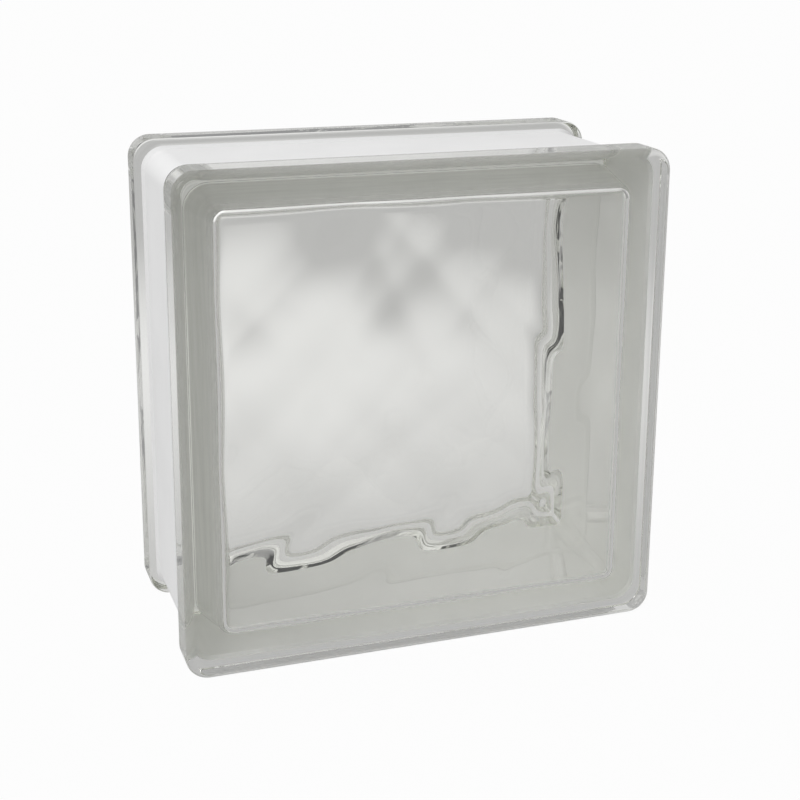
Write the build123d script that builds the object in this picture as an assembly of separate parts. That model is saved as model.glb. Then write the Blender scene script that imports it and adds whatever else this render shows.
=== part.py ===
# A hollow glass building block standing on one edge, with wavy inner faces and a white coat in its channel.
# Millimetres. X is the width, Y the depth (the front face looks along -Y), Z is up.
# The origin is at the middle of the bottom, on the floor.

import os
from math import atan2, cos, degrees, hypot, pi, radians, sin, sqrt

from build123d import *

# Overall size
width = 197.0
height = 197.0
depth = 98.0

# Outer shape, the same round all four edges
outline_corner_radius = 9.0    # corners of the square outline
face_edge_radius = 3.5         # rounding between a face and the flange sides
flange_depth = 17.0            # from a face back to the mortar channel
channel_recess = 4.5           # depth of the channel below the flange sides
lip_radius = 0.8               # rounding between a flange side and the channel
foot_slope = 1.5               # slope between the channel's sides and its floor, both ways

# White coat in the channel
coat_thickness = 0.4
coat_edge_drop = 2.6           # how far below the flange sides the coat ends

# Hollow inside
face_thickness = 6.0           # glass behind the lowest dishes of an inner face
face_border = 15.0             # from the outline to the hollow, at the faces
seam_wall = 5.0                # glass between channel floor and hollow, at the seam
hollow_fillet = 5.0            # rounding of the hollow's corners and of its ends
bead_height = 1.2              # ridge left inside where the two halves are fused
bead_width = 3.0               # width of the ridge along the depth

# Waves pressed into the inner faces: two families of ridges cross and leave shallow dishes between them
wave_pitch = 48.0              # from ridge to ridge
wave_depth = 1.3               # rise of one family's ridges above its dishes
wave_angle = 45.0              # slope of the line across the first family, the other family is square to it
phase_shares = (0.94, 0.98)    # where a ridge of each family lies, as a share of the pitch
crest_share = 0.5              # softness of the ridges, as a share of the slope beside them
wave_lift = 0.4                # rise of the lowest dishes above the end of the rounded walls
wave_steps = 6                 # points along one pitch when the surface is laid out
wave_tolerance = 0.1           # how closely the surface keeps to those points


def slab(start, end, inset, radius):
    """Straight length of the block's outline from depth start to end, smaller by inset on each side."""
    plane = Plane((0, start, height / 2), x_dir=(1, 0, 0), z_dir=(0, end - start, 0))
    outline = RectangleRounded(width - 2 * inset, height - 2 * inset, radius)
    return extrude(plane * outline, abs(end - start))


def stepped_half(face, lip, inset, floor_inset, slope):
    """Front half of a flange and the channel behind it, with a slope at the foot of the channel's side."""
    flange = slab(-face, -lip, inset, outline_corner_radius)
    half = flange + slab(-lip, 0, floor_inset, outline_corner_radius)
    side = half.faces().filter_by(Axis.Y).sort_by(Axis.Y)[1]
    return chamfer(side.inner_wires()[0].edges(), slope)


def outer_body():
    """Block without its hollow: two flanges with the mortar channel between them."""
    lip = depth / 2 - flange_depth
    front = stepped_half(depth / 2, lip, 0, channel_recess, foot_slope)
    side = front.faces().filter_by(Axis.Y).sort_by(Axis.Y)[1]
    front = fillet(side.outer_wire().edges(), lip_radius)
    front = fillet(front.faces().sort_by(Axis.Y)[0].edges(), face_edge_radius)
    return front + mirror(front, about=Plane.XZ)


def channel_coat(body):
    """White coat over the channel's floor and slopes and the foot of its sides, which stay bare above it."""
    lip = depth / 2 - flange_depth
    slope = foot_slope + coat_thickness * (sqrt(2) - 2)
    front = stepped_half(lip, lip - coat_thickness, coat_edge_drop, channel_recess - coat_thickness, slope)
    return front + mirror(front, about=Plane.XZ) - body


def ridges(across, phase):
    """Rise of one family of ridges at a distance across it: shallow dishes that meet in soft crests."""
    dish = sqrt(sin(pi * (across / wave_pitch + phase)) ** 2 + crest_share ** 2) - crest_share
    return wave_depth * (1 - dish / (sqrt(1 + crest_share ** 2) - crest_share))


def wave_point(first, second):
    """Point of the front inner face at distances across the first and the second family of ridges."""
    along, up = cos(radians(wave_angle)), sin(radians(wave_angle))
    rise = wave_lift + ridges(first, phase_shares[0]) + ridges(second, phase_shares[1])
    x, z = first * along - second * up, first * up + second * along
    return Vector(x, face_thickness + rise - depth / 2, z + height / 2)


def wavy_face():
    """The front inner face as one smooth surface laid out along the ridges, larger than the hollow."""
    reach = hypot(width, height) / 2
    count = int(2 * reach / wave_pitch * wave_steps)
    lines = [reach * (2 * i / count - 1) for i in range(count + 1)]
    grid = [[wave_point(first, second) for second in lines] for first in lines]
    return Face.make_surface_from_array_of_points(grid, tol=wave_tolerance, min_deg=3)


def hollow_half():
    """Front half of the hollow: drafted walls from the seam, rounded at their end, which the waves cut."""
    inset = channel_recess + seam_wall
    length = depth / 2 - face_thickness
    seam = Plane((0, 0, height / 2), x_dir=(1, 0, 0), z_dir=(0, -1, 0))
    half = extrude(seam * Rectangle(width - 2 * inset, height - 2 * inset), length)
    lean = degrees(atan2(face_border - inset, length))
    half = draft(half.faces().filter_by(Axis.Y, reverse=True), seam, lean)
    at_seam = half.faces().sort_by(Axis.Y)[-1].edges()
    half = fillet([e for e in half.edges() if e not in at_seam], hollow_fillet)
    return half - Solid.extrude(wavy_face(), Vector(0, -depth / 2, 0))


def seam_bead():
    """Low ridge round the hollow at half depth, where the two halves are fused."""
    ridge = slab(-bead_width / 2, bead_width / 2, channel_recess, outline_corner_radius)
    return ridge - slab(-bead_width, bead_width, channel_recess + seam_wall + bead_height, hollow_fillet)


def hollow():
    """Whole hollow: both halves come from one mould, so the back half is the front one turned about."""
    front = hollow_half()
    return front + Rot(0, 0, 180) * front - seam_bead()


body = outer_body()
pieces = {"glass_block": body - hollow(), "edge_coating": channel_coat(body)}

os.makedirs("parts", exist_ok=True)
for name, piece in pieces.items():
    export_step(piece, f"parts/{name}.step")
    box = piece.bounding_box()
    print(name, len(piece.solids()), "solid", round(piece.volume), "mm3", [round(v, 1) for v in box.size])
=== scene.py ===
# %% [markdown]
# # A hollow glass block
#
# A glass block is two pressed glass trays, fused face to face at half depth. Light goes in through the
# outer skin, crosses a wavy inner face, an air space and a second wavy face, and comes out behind.
# Nothing on it moves, so the whole look is in three things: clean outer rounding, the waves inside,
# and the white coat that lies in the mortar channel round the four edges.
#
# The first cell loads the imported solids as the frame.

import math
from collections import namedtuple

import bmesh
import bpy
from mathutils import Matrix, Vector


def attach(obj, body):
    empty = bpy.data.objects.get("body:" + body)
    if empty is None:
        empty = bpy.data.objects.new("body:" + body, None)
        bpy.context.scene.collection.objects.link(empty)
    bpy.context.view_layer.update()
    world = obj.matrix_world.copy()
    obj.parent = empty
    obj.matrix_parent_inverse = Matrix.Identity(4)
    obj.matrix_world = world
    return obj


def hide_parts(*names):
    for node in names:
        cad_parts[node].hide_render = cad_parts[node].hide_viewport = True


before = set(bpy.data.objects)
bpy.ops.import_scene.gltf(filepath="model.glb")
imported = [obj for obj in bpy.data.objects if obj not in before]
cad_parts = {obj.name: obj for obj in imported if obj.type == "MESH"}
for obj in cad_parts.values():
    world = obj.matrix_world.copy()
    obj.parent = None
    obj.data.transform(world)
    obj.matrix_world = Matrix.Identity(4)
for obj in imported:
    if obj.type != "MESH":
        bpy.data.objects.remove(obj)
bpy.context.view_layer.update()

# %% [markdown]
# ## Sizes
#
# The glass is built again at the same sizes as the solids, because looks need a finer mesh than the
# solids have: light bends at every facet of clear glass, so a facet that nobody sees on a painted part
# shows here as a broken line. Everything is in metres in the same frame: X is the width, the front face
# looks along -Y, Z is up and the floor is at zero.

# %% Sizes of the block
MM = 0.001
width, height, depth = 197 * MM, 197 * MM, 98 * MM
corner_radius = 9 * MM          # corners of the square outline
face_edge_radius = 3.5 * MM     # between a face and the flange sides
flange_depth = 17 * MM          # from a face back to the channel
channel_recess = 4.5 * MM       # depth of the channel below the flange sides
lip_radius = 0.8 * MM           # between a flange side and the channel
foot_slope = 1.5 * MM           # at the foot of the channel's sides, the same both ways
lip = depth / 2 - flange_depth  # distance of a channel side from half depth
middle = (0, 0, height / 2)
print("channel is", round(2 * lip / MM, 1), "mm wide and", round(channel_recess / MM, 1), "mm deep")

# %% [markdown]
# ## Helpers for working as by hand
#
# Every step goes the same way: make one object active, go into edit mode, select edges or faces by where
# they are, and run an operator on them. `pick` selects with a test, and the other helpers are such tests
# or the measures that they need.

# %% Helpers
same_place = 0.02 * MM  # distances that differ by less than this count as equal


def activate(obj):
    """Make obj the only selected object and the active one."""
    bpy.ops.object.select_all(action="DESELECT")
    obj.select_set(True)
    bpy.context.view_layer.objects.active = obj


def pick(obj, kind, wanted):
    """In edit mode, select only the edges or faces for which wanted(element) is true, and count them."""
    bpy.ops.mesh.select_mode(type=kind)
    bpy.ops.mesh.select_all(action="DESELECT")
    mesh = bmesh.from_edit_mesh(obj.data)
    elements = mesh.edges if kind == "EDGE" else mesh.faces
    count = 0
    for element in elements:
        if wanted(element):
            element.select_set(True)
            count += 1
    bmesh.update_edit_mesh(obj.data)
    return count


def runs_round(edge, y):
    """True for an edge that lies in one of the two planes at distance y from half depth."""
    first, second = edge.verts[0].co.y, edge.verts[1].co.y
    return abs(first - second) < same_place and abs(abs(first) - y) < same_place


def inset_of(point):
    """How far a point lies inside the rounded outline of the block."""
    x, z = width / 2 - abs(point.x), height / 2 - abs(point.z - height / 2)
    if max(x, z) < corner_radius:
        return corner_radius - math.hypot(corner_radius - x, corner_radius - z)
    return min(x, z)


def in_channel(edge):
    """True for an edge that is nearer to the channel's floor than to the flange sides."""
    return all(inset_of(vert.co) > channel_recess / 2 for vert in edge.verts)


def on_flange(edge):
    """True for an edge that is nearer to the flange sides than to the channel's floor."""
    return all(inset_of(vert.co) < channel_recess / 2 for vert in edge.verts)


# %% [markdown]
# ## Block with round corners
#
# The outside is a square block with rounded corners and a shallow channel all round. It could be lofted
# from sections, but a block that is bevelled, cut and stepped in is what the shape is. It starts as a cube
# of the full size, and its four edges along the depth are rounded.

# %% Block with round corners
corner_segments = 18
bpy.ops.object.select_all(action="DESELECT")
bpy.ops.mesh.primitive_cube_add(size=1, location=middle)
skin = bpy.context.object
skin.name = "pressed_glass"
skin.scale = (width, depth, height)
bpy.ops.object.transform_apply(location=True, rotation=False, scale=True)
activate(skin)
bpy.ops.object.mode_set(mode="EDIT")
count = pick(skin, "EDGE", lambda e: abs(e.verts[0].co.y - e.verts[1].co.y) > depth / 2)
bpy.ops.mesh.bevel(offset=corner_radius, segments=corner_segments, affect="EDGES", clamp_overlap=False)
print("rounded", count, "depth edges")

# %% [markdown]
# ## Mortar channel
#
# The channel between the two flanges takes the mortar of the joint. Two cuts mark its sides, and the belt
# between them is extruded and pulled in towards the middle of the block. A bevel of one segment then makes
# the flat slope along the foot of each side.

# %% Mortar channel
for y in (-lip, lip):
    bpy.ops.mesh.select_all(action="SELECT")
    bpy.ops.mesh.bisect(plane_co=(0, y, 0), plane_no=(0, 1, 0))

count = pick(skin, "FACE", lambda f: abs(f.calc_center_median().y) < lip / 2)
bpy.ops.mesh.extrude_region()
pull = ((width - 2 * channel_recess) / width, 1, (height - 2 * channel_recess) / height)
bpy.ops.transform.resize(value=pull, center_override=middle)
print("pulled in a belt of", count, "faces")

count = pick(skin, "EDGE", lambda e: runs_round(e, lip) and in_channel(e))
bpy.ops.mesh.bevel(offset=foot_slope, segments=1, affect="EDGES", clamp_overlap=False)
print("sloped", count, "edges at the channel's foot")

# %% [markdown]
# ## Roundings of the lips and of the face edges
#
# Both faces end in a small round edge that catches a bright line, and the lips of the channel are a little
# softer than sharp. A bevel with several segments makes each rounding. The edges are found by their depth.

# %% Roundings
lip_segments, face_edge_segments = 4, 12
count = pick(skin, "EDGE", lambda e: runs_round(e, lip) and on_flange(e))
bpy.ops.mesh.bevel(offset=lip_radius, segments=lip_segments, affect="EDGES", clamp_overlap=False)
print("rounded", count, "lip edges")
count = pick(skin, "EDGE", lambda e: runs_round(e, depth / 2))
bpy.ops.mesh.bevel(offset=face_edge_radius, segments=face_edge_segments, affect="EDGES", clamp_overlap=False)
print("rounded", count, "face edges")
bpy.ops.object.mode_set(mode="OBJECT")
print("outer skin of", len(skin.data.polygons), "faces")

# %% [markdown]
# ## White coat in the channel
#
# The channel is painted, so that mortar holds on it and doesn't show through the glass. The coat is a copy
# of the channel's own floor and slopes, given a thickness: most of it stands out from the glass, and a hair
# of it lies inside, so that a look through the glass meets paint and not a thin air gap, which would mirror.

# %% White coat
coat_outside, coat_inside = 0.4 * MM, 0.05 * MM
slope_top = channel_recess - foot_slope
slack = 0.1 * MM                  # the slopes are found with this much to spare
smooth_below = math.radians(30)   # edges that bend less are shaded smooth


def is_bare(face):
    """True for a face that isn't on the channel's floor or slopes."""
    beside = abs(face.calc_center_median().y) > lip
    return beside or min(inset_of(vert.co) for vert in face.verts) < slope_top - slack


activate(skin)
bpy.ops.object.duplicate()
coat = bpy.context.object
coat.name = "edge_paint"
bpy.ops.object.mode_set(mode="EDIT")
count = pick(coat, "FACE", is_bare)
bpy.ops.mesh.delete(type="FACE")
bpy.ops.object.mode_set(mode="OBJECT")
thicken = coat.modifiers.new("coat", "SOLIDIFY")
thicken.thickness = coat_outside + coat_inside
thicken.offset = (coat_outside - coat_inside) / (coat_outside + coat_inside)
thicken.use_even_offset = True
bpy.ops.object.modifier_apply(modifier=thicken.name)
bpy.ops.object.shade_smooth_by_angle(angle=smooth_below)
print("left out", count, "bare faces, coat of", len(coat.data.polygons), "faces")

# %% [markdown]
# ## Waves of an inner face
#
# Each tray is pressed by a plunger whose end is carved in waves: two families of shallow dishes cross, and
# where two dishes meet they leave a soft ridge. Seen through the block, every ridge breaks the lines behind
# it. One pattern repeated all over would look like a machined part, so each ridge is given by itself.
#
# The families lie at about 45 degrees. One falls from left to right and one rises. Each ridge has its own
# place across its family, in millimetres from the middle of the face, a small lean, because the real ones
# aren't quite parallel, a reach to each side in millimetres, a softness of its crest as a share of that
# reach, and a strength at either end.

# %% Waves of an inner face
wave_slope = 0.13      # steepest slope of the glass beside a ridge of full strength
ridge_run = 170 * MM   # length along a ridge over which its strength goes from start to end
Ridge = namedtuple("Ridge", "place lean reach softness start end")
falling_ridges = (
    Ridge(-66, 0.0, 30, 0.2, 0.9, 0.9),
    Ridge(-22, 0.05, 30, 0.15, 1.1, 1.0),
    Ridge(10, 0.33, 30, 0.15, 0.9, 1.1),
    Ridge(51, 0.0, 34, 0.08, 1.5, -0.6),
    Ridge(97, 0.0, 24, 0.3, 0.3, 0.4),
)
rising_ridges = (
    Ridge(-65.3, 0.278, 20, 0.15, 0.8, 0.9),
    Ridge(-36.4, 0.0, 20, 0.17, 2.0, -1.4),
    Ridge(-3.7, -0.124, 24, 0.14, 1.2, -0.1),
    Ridge(45, 0.0, 32, 0.15, 1.2, 1.0),
    Ridge(88, 0.0, 32, 0.2, 1.0, 1.0),
)


def rise_of(ridge, across, along):
    """Height of one ridge at a point: a crest that dies away on both sides."""
    reach = ridge.reach * MM
    off = across - ridge.place * MM - ridge.lean * along
    away = math.hypot(off, ridge.softness * reach) / reach
    share = min(max(0.5 + along / ridge_run, 0), 1)
    strength = max(ridge.start + (ridge.end - ridge.start) * share, 0)
    return wave_slope * reach / 2 * strength * max(1 - away, 0) ** 2


def wave(x, z):
    """Rise of the wavy face into the hollow at a point of the face."""
    falling, rising = (x + z) / math.sqrt(2), (z - x) / math.sqrt(2)
    return (sum(rise_of(ridge, falling, rising) for ridge in falling_ridges)
            + sum(rise_of(ridge, rising, falling) for ridge in rising_ridges))


spots = [spot * MM for spot in range(-75, 76, 5)]  # a coarse net over the face, to measure the waves
rises = [wave(x, z) for x in spots for z in spots]
print("waves run from", round(min(rises) / MM, 2), "to", round(max(rises) / MM, 2), "mm")

# %% [markdown]
# ## Section of a tray's wall
#
# From the wavy face the inside of a tray goes through a small rounding into a wall that leans out towards
# the seam, and ends on half of the low bead that the fused seam leaves. The section lists these as rings,
# each with its half width and its depth. Steps are finest on the rounding and the bead, where they bend most.

# %% Section of a tray's wall
face_thickness = 6 * MM
face_border = 15 * MM                 # from the outline to the hollow, at the faces
seam_wall = 5 * MM                    # glass between channel floor and hollow, at the seam
rim_radius = 5 * MM                   # between the wavy face and the wall
bead_height, bead_half = 1.2 * MM, 1.5 * MM
bead_fullness = 4                     # a higher power gives a flatter bead with steeper sides
arc_rings, wall_rings, bead_rings = 8, 16, 10
seam_inset = channel_recess + seam_wall
face_level = face_thickness - depth / 2
flat_half = width / 2 - face_border - rim_radius


def wall_half(y):
    """Half width of the hollow at depth y, with the bead at the seam."""
    share = (y - face_level) / -face_level
    half = width / 2 - face_border + (face_border - seam_inset) * share
    bead = 1 - min(abs(y) / bead_half, 1) ** bead_fullness
    return half - bead_height * bead


section = []
for ring in range(1, arc_rings + 1):
    turn = math.pi / 2 * ring / arc_rings
    half = flat_half + rim_radius * math.sin(turn)
    section.append((half, face_level + rim_radius * (1 - math.cos(turn))))
wall_start = face_level + rim_radius
for ring in range(1, wall_rings + 1):
    y = wall_start + (-bead_half - wall_start) * ring / wall_rings
    section.append((wall_half(y), y))
for ring in range(1, bead_rings + 1):
    y = -bead_half * (1 - ring / bead_rings)
    section.append((wall_half(y), y))
print("section of", len(section), "rings, half width at the seam", round(section[-1][0] / MM, 2), "mm")

# %% [markdown]
# ## Folding a grid into a tray
#
# The tray's inside is one sheet, and a grid is the right start for a sheet: its middle becomes the wavy face
# and its outer rings are folded up along the section. A point of the middle keeps its place and gets the
# wave. A point of the outer rings gets its distance out and its depth from the section, and in the corners
# it fans round a quarter turn, so the wall's corners come out round. The waves run on into the rounding and
# die away along the wall, because the plunger is carved right to its edge.

# %% Fold a grid into a tray
flat_cells = 136
rings = len(section)
cells = flat_cells + 2 * rings
bpy.ops.object.select_all(action="DESELECT")
bpy.ops.mesh.primitive_grid_add(x_subdivisions=cells, y_subdivisions=cells, size=cells)
tray = bpy.context.object
tray.name = "front_tray"


def folded(u, v):
    """Place of the grid point at whole steps u, v from the middle."""
    limit = flat_cells // 2
    step = flat_half / limit
    x, z = max(-limit, min(limit, u)) * step, max(-limit, min(limit, v)) * step
    over_u, over_v = abs(u) - limit, abs(v) - limit
    ring = max(over_u, over_v)
    if ring <= 0:
        return Vector((x, face_level + wave(x, z), z))
    half, y = section[ring - 1]
    out = half - flat_half
    y += wave(x, z) * max(1 - ring / (arc_rings + wall_rings), 0) ** 2
    if over_v <= 0:
        return Vector((x + math.copysign(out, u), y, z))
    if over_u <= 0:
        return Vector((x, y, z + math.copysign(out, v)))
    if over_u >= over_v:
        turn = math.pi / 4 * over_v / ring
    else:
        turn = math.pi / 2 - math.pi / 4 * over_u / ring
    aside, above = math.copysign(out * math.cos(turn), u), math.copysign(out * math.sin(turn), v)
    return Vector((x + aside, y, z + above))


for vert in tray.data.vertices:
    vert.co = folded(round(vert.co.x), round(vert.co.y)) + Vector(middle)
activate(tray)
bpy.ops.object.mode_set(mode="EDIT")
bpy.ops.mesh.select_all(action="SELECT")
bpy.ops.mesh.flip_normals()
bpy.ops.object.mode_set(mode="OBJECT")
print("tray of", len(tray.data.vertices), "points")

# %% [markdown]
# ## Two trays and a skin make one piece of glass
#
# Both trays come from the same mould, so the back one is the front one turned half round. Their rims meet
# at the seam and are merged. The hollow is then joined to the skin as one mesh: its faces look into the air
# inside, as the skin's look into the air outside, and light knows the glass by that. A weighted normal keeps
# the large flat faces flat beside their roundings, because a smooth shading alone would bend them.

# %% Join the glass
merge_distance = 0.01 * MM
activate(tray)
bpy.ops.object.duplicate()
back_tray = bpy.context.object
back_tray.name = "back_tray"
bpy.ops.transform.rotate(value=math.pi, orient_axis="Z", center_override=(0, 0, 0))
bpy.ops.object.transform_apply(location=True, rotation=True, scale=True)
bpy.ops.object.select_all(action="DESELECT")
for obj in (tray, back_tray, skin):
    obj.select_set(True)
bpy.context.view_layer.objects.active = skin
bpy.ops.object.join()
bpy.ops.object.mode_set(mode="EDIT")
bpy.ops.mesh.select_all(action="SELECT")
bpy.ops.mesh.remove_doubles(threshold=merge_distance)
bpy.ops.object.mode_set(mode="OBJECT")
bpy.ops.object.shade_smooth()
weigh = skin.modifiers.new("normals", "WEIGHTED_NORMAL")
weigh.mode = "FACE_AREA"
bpy.ops.object.modifier_apply(modifier=weigh.name)
check = bmesh.new()
check.from_mesh(skin.data)
open_edges = sum(1 for edge in check.edges if not edge.is_manifold)
volume = round(check.calc_volume() / MM ** 3)
print("glass of", len(check.faces), "faces,", open_edges, "open edges, volume", volume, "mm3")
check.free()

# %% [markdown]
# ## Clear glass
#
# Pressed soda-lime glass is nearly clear, with a faint olive grey that only shows where light runs a long
# way inside it, in the borders. The tint is therefore an absorption in the volume and not a colour on the
# surface. A material is a tree of nodes, and `add_node` keeps such a tree short to read.


# %% Clear glass
def new_material(name):
    """A new material and its node tree."""
    made = bpy.data.materials.new(name)
    made.use_nodes = True
    return made, made.node_tree


def add_node(tree, kind, values):
    """A new node of the tree, with plain values on the inputs that are named."""
    node = tree.nodes.new(kind)
    for name, value in values.items():
        node.inputs[name].default_value = value
    return node


glass, tree = new_material("clear_pressed_glass")
shader = tree.nodes["Principled BSDF"]
shader.inputs["Base Color"].default_value = (0.985, 0.985, 0.975, 1)
shader.inputs["Roughness"].default_value = 0.0
shader.inputs["IOR"].default_value = 1.52
shader.inputs["Transmission Weight"].default_value = 1.0
tint = add_node(tree, "ShaderNodeVolumeAbsorption", {"Color": (0.82, 0.83, 0.78, 1), "Density": 10})
tree.links.new(tint.outputs["Volume"], tree.nodes["Material Output"].inputs["Volume"])
skin.data.materials.clear()
skin.data.materials.append(glass)
print(glass.name, "on", skin.name)

# %% [markdown]
# ## Reckoning in a material
#
# A finish that is only on some part of a piece needs a mask, which nodes work out from the place on the
# piece. `arithmetic` is one step of a sum, and `soft_step` goes from one value to another without a corner.


# %% Reckoning in a material
def feed(tree, term, socket):
    """Link term to the socket if it is an output, or set it there if it is a plain number."""
    if isinstance(term, float):
        socket.default_value = term
    else:
        tree.links.new(term, socket)


def arithmetic(tree, operation, *terms):
    """Output of a Math node over its terms."""
    node = tree.nodes.new("ShaderNodeMath")
    node.operation = operation
    for term, socket in zip(terms, node.inputs):
        feed(tree, term, socket)
    return node.outputs["Value"]


def soft_step(tree, value, start, end, first, last):
    """Output that goes softly from first to last while value goes from start to end."""
    limits = {"From Min": start, "From Max": end, "To Min": first, "To Max": last}
    step = add_node(tree, "ShaderNodeMapRange", limits)
    step.interpolation_type = "SMOOTHSTEP"
    tree.links.new(value, step.inputs["Value"])
    return step.outputs["Result"]


# %% [markdown]
# ## Chill marks on the walls
#
# Glass that cools while it rises between mould and plunger keeps faint wrinkles, which run round the wall.
# They are too low to model, so a weak bump stirs the reflections there. Its noise is drawn out along the
# width and the height. It ends before the flat faces and the waves, which are smooth.

# %% Chill marks on the walls
marks_end, marks_full = 38 * MM, 32 * MM  # distance from the seam
wall_noise = {"Scale": 25, "Detail": 1.5}
noise_mean = 0.5
place = tree.nodes.new("ShaderNodeTexCoord").outputs["Object"]
stretch = add_node(tree, "ShaderNodeMapping", {"Scale": (1, 5, 1)})
ripple = add_node(tree, "ShaderNodeTexNoise", wall_noise)
axes = tree.nodes.new("ShaderNodeSeparateXYZ")
bump = add_node(tree, "ShaderNodeBump", {"Strength": 0.18, "Distance": MM})
tree.links.new(place, stretch.inputs["Vector"])
tree.links.new(stretch.outputs["Vector"], ripple.inputs["Vector"])
tree.links.new(place, axes.inputs["Vector"])
from_seam = arithmetic(tree, "ABSOLUTE", axes.outputs["Y"])
on_wall = soft_step(tree, from_seam, marks_end, marks_full, 0.0, 1.0)
wrinkle = arithmetic(tree, "SUBTRACT", ripple.outputs["Fac"], noise_mean)
tree.links.new(arithmetic(tree, "MULTIPLY", wrinkle, on_wall), bump.inputs["Height"])
tree.links.new(bump.outputs["Normal"], shader.inputs["Normal"])
print("chill marks up to", round(marks_end / MM), "mm from the seam")

# %% [markdown]
# ## White paint
#
# The coat is a sprayed matt white with a very fine grain and a little unevenness in tone. One noise moves
# the grey a little, and a second one, far finer, is the grain in a bump.

# %% White paint
tones = ((0.3, 0.89), (0.7, 0.93))  # place on the ramp and the grey there
paint, tree = new_material("white_edge_paint")
shader = tree.nodes["Principled BSDF"]
shader.inputs["Roughness"].default_value = 0.6
place = tree.nodes.new("ShaderNodeTexCoord").outputs["Object"]
cloud = add_node(tree, "ShaderNodeTexNoise", {"Scale": 30, "Detail": 3})
tone = tree.nodes.new("ShaderNodeValToRGB")
for stop, (position, grey) in zip(tone.color_ramp.elements, tones):
    stop.position = position
    stop.color = (grey, grey, grey, 1)
grain = add_node(tree, "ShaderNodeTexNoise", {"Scale": 1800, "Detail": 2})
bump = add_node(tree, "ShaderNodeBump", {"Strength": 0.2, "Distance": 0.1 * MM})
tree.links.new(place, cloud.inputs["Vector"])
tree.links.new(cloud.outputs["Fac"], tone.inputs["Fac"])
tree.links.new(tone.outputs["Color"], shader.inputs["Base Color"])
tree.links.new(place, grain.inputs["Vector"])
tree.links.new(grain.outputs["Fac"], bump.inputs["Height"])
tree.links.new(bump.outputs["Normal"], shader.inputs["Normal"])
coat.data.materials.clear()
coat.data.materials.append(paint)
print(paint.name, "on", coat.name)

# %% [markdown]
# ## Place in the frame
#
# Both pieces ride on the one body that the part has. Each stands for one CAD node.

# %% Ride and replace
for piece, node, slot in ((skin, "glass_block", "clear_glass"), (coat, "edge_coating", "white_coat")):
    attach(piece, "root")
    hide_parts(node)
    print(piece.name, "stands for", node)

# %% [markdown]
# ## Floor
#
# The photograph has a white ground with hardly a shadow. The floor mixes a glow, which makes it white, with
# a share of plain matt shading, so that the block's soft shadow stays. It lies a hair below the block,
# because two faces in one place would flicker.

# %% Floor
floor_size = 30
floor_drop = 0.2 * MM
bpy.ops.object.select_all(action="DESELECT")
bpy.ops.mesh.primitive_plane_add(size=floor_size, location=(0, 0, -floor_drop))
floor = bpy.context.object
floor.name = "floor"
ground, tree = new_material("white_ground")
tree.nodes.remove(tree.nodes["Principled BSDF"])
matt = add_node(tree, "ShaderNodeBsdfDiffuse", {"Color": (0.4, 0.4, 0.4, 1)})
glow = tree.nodes.new("ShaderNodeEmission")
blend = tree.nodes.new("ShaderNodeMixShader")
tree.links.new(matt.outputs["BSDF"], blend.inputs[1])
tree.links.new(glow.outputs["Emission"], blend.inputs[2])
tree.links.new(blend.outputs["Shader"], tree.nodes["Material Output"].inputs["Surface"])
floor.data.materials.append(ground)
print("floor of", floor_size, "m")

# %% [markdown]
# ## Painted pool of light on the floor
#
# To the camera the floor is all but white. Glass shows the same floor with more of its shading and with a
# soft round pool of light behind the block, painted into the floor's glow, as no lamp casts it: the waves
# move that painted pool about, and this makes the clouds in the face. After a bounce off a matt surface half
# of the floor's look is glow: enough to fill the channel under the block, and too little to light the paint
# like a lamp.


# %% Painted pool of light on the floor
def choose(tree, switch, off, on):
    """Output that equals on where switch is 1 and off where it is 0."""
    mix = tree.nodes.new("ShaderNodeMix")
    mix.data_type = "FLOAT"
    for term, socket in zip((switch, off, on), (mix.inputs[0], mix.inputs[2], mix.inputs[3])):
        feed(tree, term, socket)
    return mix.outputs[0]


painted_pool_centre = (0.03, 0.36, 0)
painted_pool_radius = 0.46
glow_outside, glow_inside = 0.56, 1.0
share_for_camera, share_for_glass, share_for_matt = 0.97, 0.78, 0.5
white = 1.0
place = tree.nodes.new("ShaderNodeTexCoord").outputs["Object"]
from_painted_pool = add_node(tree, "ShaderNodeVectorMath", {1: painted_pool_centre})
from_painted_pool.operation = "DISTANCE"
tree.links.new(place, from_painted_pool.inputs[0])
# painted pool of light: the glow grows softly towards the centre, where no lamp shines
painted_pool = soft_step(tree, from_painted_pool.outputs["Value"], painted_pool_radius, 0.0, glow_outside, glow_inside)
path = tree.nodes.new("ShaderNodeLightPath").outputs
tree.links.new(choose(tree, path["Is Camera Ray"], painted_pool, white), glow.inputs["Strength"])
looked_at = arithmetic(tree, "LESS_THAN", path["Diffuse Depth"], 0.5)
share_when_seen = choose(tree, path["Is Camera Ray"], share_for_glass, share_for_camera)
tree.links.new(choose(tree, looked_at, share_for_matt, share_when_seen), blend.inputs["Fac"])
print("pool of light round", painted_pool_centre, "with a radius of", painted_pool_radius, "m")

# %% [markdown]
# ## Room
#
# Glass needs something to show. The room is bright from the upper left, pale behind the block and darker on
# the camera's side, and that gives the dark and bright lines along the edges. A world that depends on the
# way a ray goes is simpler than walls and a ceiling. The camera itself sees plain white.

# %% Room
room_light = 0.3                          # from every side
rear_light, rear_start, rear_full = 0.35, -0.1, 0.5
key_light, key_start, key_full = 0.72, 0.1, 0.95
key_way = Vector((-0.5, -0.3, 0.81)).normalized()
world = bpy.data.worlds.new("studio")
world.use_nodes = True
bpy.context.scene.world = world
tree = world.node_tree
way = tree.nodes.new("ShaderNodeTexCoord").outputs["Generated"]
axes = tree.nodes.new("ShaderNodeSeparateXYZ")
toward_key = add_node(tree, "ShaderNodeVectorMath", {1: key_way})
toward_key.operation = "DOT_PRODUCT"
tree.links.new(way, axes.inputs["Vector"])
tree.links.new(way, toward_key.inputs[0])
rear = soft_step(tree, axes.outputs["Y"], rear_start, rear_full, 0.0, rear_light)
key = soft_step(tree, toward_key.outputs["Value"], key_start, key_full, 0.0, key_light)
studio = arithmetic(tree, "ADD", arithmetic(tree, "ADD", rear, key), room_light)
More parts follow.
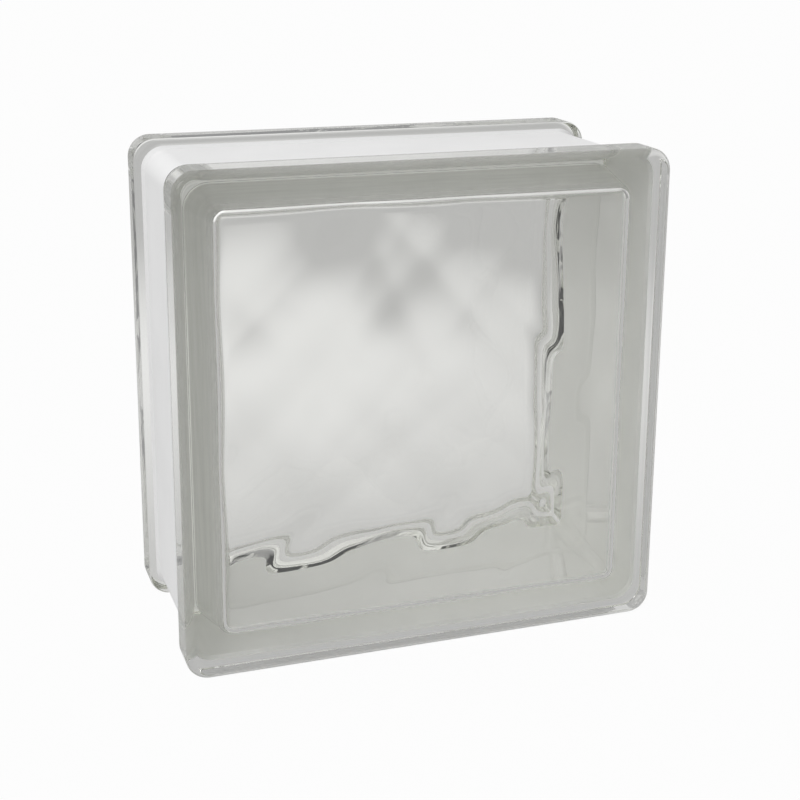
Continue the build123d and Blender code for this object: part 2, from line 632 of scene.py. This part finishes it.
seen = tree.nodes.new("ShaderNodeLightPath").outputs["Is Camera Ray"]
room = tree.nodes["Background"]
room.inputs["Color"].default_value = (1, 1, 1, 1)
tree.links.new(choose(tree, seen, studio, white), room.inputs["Strength"])
print("room is brightest towards", [round(v, 2) for v in key_way])

# %% [markdown]
# ## Lamp
#
# One weak softbox on the left lifts the painted side and puts a soft shine on the left edges. A lamp
# overhead would be mirrored along the whole upper rim of the hollow, so there is none.

# %% Lamp
lamp_place = Vector((-1.3, -0.9, 1.0))
lamp_size = 0.8
lamp_watts = 3.5
bpy.ops.object.light_add(type="AREA", location=lamp_place)
lamp = bpy.context.object
lamp.name = "left_softbox"
lamp.data.size = lamp_size
lamp.data.energy = lamp_watts
lamp.rotation_euler = (Vector(middle) - lamp_place).to_track_quat("-Z", "Y").to_euler()
print(lamp.name, "of", lamp_watts, "W")

# %% [markdown]
# ## Camera
#
# The camera stands left of the block and above it. Its place, its turn and its lens were worked out from the
# block's edges in the photograph. The lens is shifted down a little, as the photograph's was, and that keeps
# the upright edges closer to parallel.

# %% Camera
azimuth, elevation, roll = math.radians(-19.316), math.radians(15.258), math.radians(0.424)
distance = 0.62089
target = Vector((0.00444, 0, 0.12275))
focal_pixels, picture_pixels, sensor = 1509.5, 800, 36
level_share = math.cos(elevation)
back = Vector((math.sin(azimuth) * level_share, -math.cos(azimuth) * level_share, math.sin(elevation)))
right = Vector((0, 0, 1)).cross(back).normalized()
up = back.cross(right)
turn = Matrix((right, up, back)).transposed() @ Matrix.Rotation(roll, 3, "Z")
bpy.ops.object.camera_add()
camera = bpy.context.object
camera.matrix_world = Matrix.Translation(target + back * distance) @ turn.to_4x4()
camera.data.sensor_width = sensor
camera.data.lens = focal_pixels / picture_pixels * sensor
camera.data.shift_x = -0.004
camera.data.shift_y = -0.1
bpy.context.scene.camera = camera
print("camera", [round(v, 3) for v in camera.location], "lens", round(camera.data.lens, 1), "mm")

# %% [markdown]
# ## Light paths and view
#
# Light crosses many surfaces of the block and is mirrored to and fro in its borders, so it may bounce more
# often than usual. The filter that blurs light after a bounce is off, because it would smear the lines that
# are seen through the glass. The Standard view shows colours as they are written.

# %% Light paths and view
cycles = bpy.context.scene.cycles
cycles.blur_glossy = 0
cycles.max_bounces = 32
cycles.diffuse_bounces = 8
cycles.glossy_bounces = 16
cycles.transmission_bounces = 32
bpy.context.scene.view_settings.view_transform = "Standard"
print("up to", cycles.max_bounces, "bounces")
